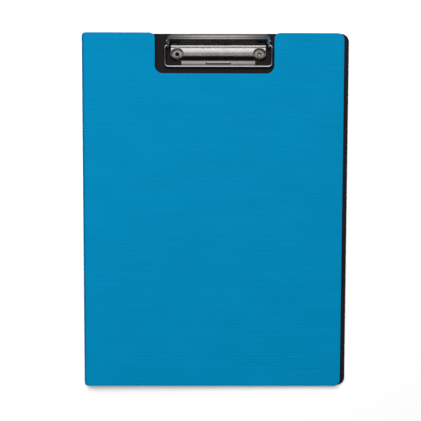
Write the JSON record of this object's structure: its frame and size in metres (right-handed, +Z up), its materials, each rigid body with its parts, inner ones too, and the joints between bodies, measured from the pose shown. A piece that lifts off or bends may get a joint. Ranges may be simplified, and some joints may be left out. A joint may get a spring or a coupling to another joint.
{
  "type": "clipboard",
  "caption": "Fold-over clipboard for A4 sheets: ribbed foil-covered back and front boards on a folding spine, the front notched round a low sprung wire clip.",
  "frame": {"origin": "middle of the closed clipboard's footprint, on the back board's outer face that it lies on", "axes": "+X from the spine to the fore edge, +Y to the head edge with the clip, +Z up towards the front cover"},
  "size_m": [0.239, 0.32, 0.0132],
  "materials": {
    "cover_foil": "satin blue foil, fine horizontal ribs",
    "lining_foil": "black, fine grain",
    "greyboard": "uncoated pressed greyboard",
    "nickel_sheet": "bright nickel plate, satin on the flat field",
    "nickel_wire": "bright nickel plate",
    "rivet": "nickel plated",
    "spring_steel": "drawn wire"
  },
  "bodies": {
    "back_board": {"back_skin": "cover_foil", "back_core": "greyboard", "back_lining": "lining_foil", "clip_base_plate": "nickel_sheet", "clip_rivets": "rivet", "rivet_washers": "rivet", "pivot_rod": "nickel_wire", "torsion_springs": "spring_steel"},
    "spine": {"spine_skin": "cover_foil", "spine_stiffener": "greyboard", "spine_lining": "lining_foil", "rear_hinge_skin": "cover_foil", "rear_hinge_lining": "lining_foil", "front_hinge_skin": "cover_foil", "front_hinge_lining": "lining_foil"},
    "front_cover": {"cover_skin": "cover_foil", "cover_core": "greyboard", "cover_lining": "lining_foil"},
    "press_lever": {"clip_lever": "nickel_sheet", "wire_jaw": "nickel_wire"}
  },
  "joints": [
    {"name": "spine_fold", "type": "hinge", "parent": "back_board", "child": "spine", "pos_m": [-0.1188, 0, 0.0007], "axis": [0, -1, 0], "range_deg": [0, 180], "deforming": ["rear_hinge_skin", "rear_hinge_lining"]},
    {"name": "cover_fold", "type": "hinge", "parent": "spine", "child": "front_cover", "pos_m": [-0.1188, 0, 0.0079], "axis": [0, -1, 0], "range_deg": [0, 180], "deforming": ["front_hinge_skin", "front_hinge_lining"]},
    {"name": "clip_press", "type": "hinge", "parent": "back_board", "child": "press_lever", "pos_m": [0.0024, 0.1524, 0.0057], "axis": [-1, 0, 0], "range_deg": [0, 42], "stiffness_Nm_per_rad": 0.2, "springref_deg": -45.84, "deforming": ["torsion_springs"]}
  ]
}
